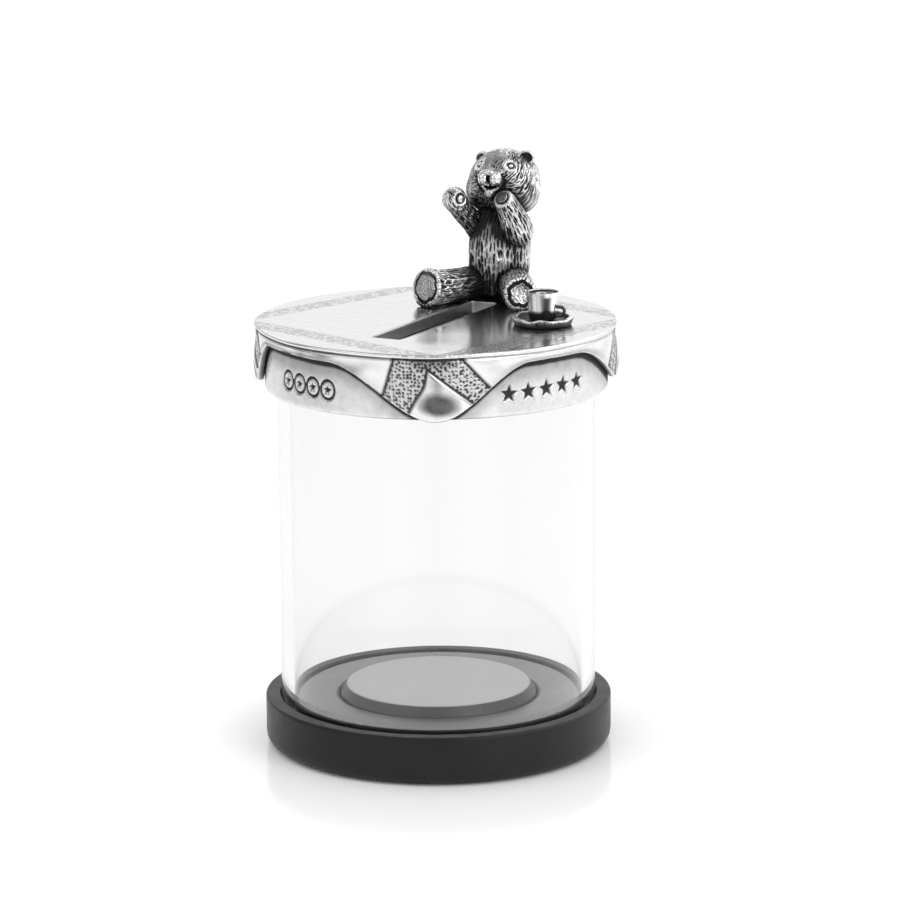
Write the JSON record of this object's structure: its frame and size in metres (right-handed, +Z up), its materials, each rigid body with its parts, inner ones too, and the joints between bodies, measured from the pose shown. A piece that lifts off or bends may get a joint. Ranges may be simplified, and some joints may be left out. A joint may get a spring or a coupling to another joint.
{
  "type": "coin bank jar",
  "caption": "Round glass savings jar on a black base, with a coin-slot lid shaped as a draped tablecloth and carrying a seated bear, a cup and a saucer.",
  "frame": {"origin": "centre of the jar's underside, on the surface that it stands on", "axes": "+Z up along the jar's axis; the bear faces -Y along the coin slot"},
  "size_m": [0.08, 0.08, 0.129],
  "materials": {
    "black_base": "satin",
    "foot_pad": "matte",
    "seat_silicone": "matte",
    "clear_glass": "gloss",
    "stopper_rubber": "satin",
    "lid_seal_rubber": "matte",
    "collar_plastic": "satin",
    "band_pewter": "satin",
    "cloth_pewter": "satin",
    "bear_pewter": "satin",
    "saucer_pewter": "satin",
    "cup_pewter": "satin"
  },
  "bodies": {
    "jar": {"base_plate": "black_base", "base_pad": "foot_pad", "glass_seat_ring": "seat_silicone", "glass_cylinder": "clear_glass"},
    "stopper": {"stopper": "stopper_rubber"},
    "seal": {"lid_seal_ring": "lid_seal_rubber"},
    "lid": {"lid_top": "cloth_pewter", "lid_band": "band_pewter", "lid_collar": "collar_plastic", "bear_torso": "bear_pewter", "bear_head": "bear_pewter", "bear_left_arm": "bear_pewter", "bear_right_arm": "bear_pewter", "bear_left_leg": "bear_pewter", "bear_right_leg": "bear_pewter", "saucer": "saucer_pewter", "cup": "cup_pewter"}
  },
  "joints": [
    {"name": "lid_lift", "type": "slide", "parent": "jar", "child": "seal", "axis": [0, 0, 1], "range_m": [0, 0.05]},
    {"name": "lid_turn", "type": "hinge", "parent": "seal", "child": "lid", "pos_m": [0, 0, 0.086], "axis": [0, 0, 1], "continuous": true},
    {"name": "stopper_pull", "type": "slide", "parent": "jar", "child": "stopper", "axis": [0, 0, -1], "range_m": [0, 0.02]}
  ]
}
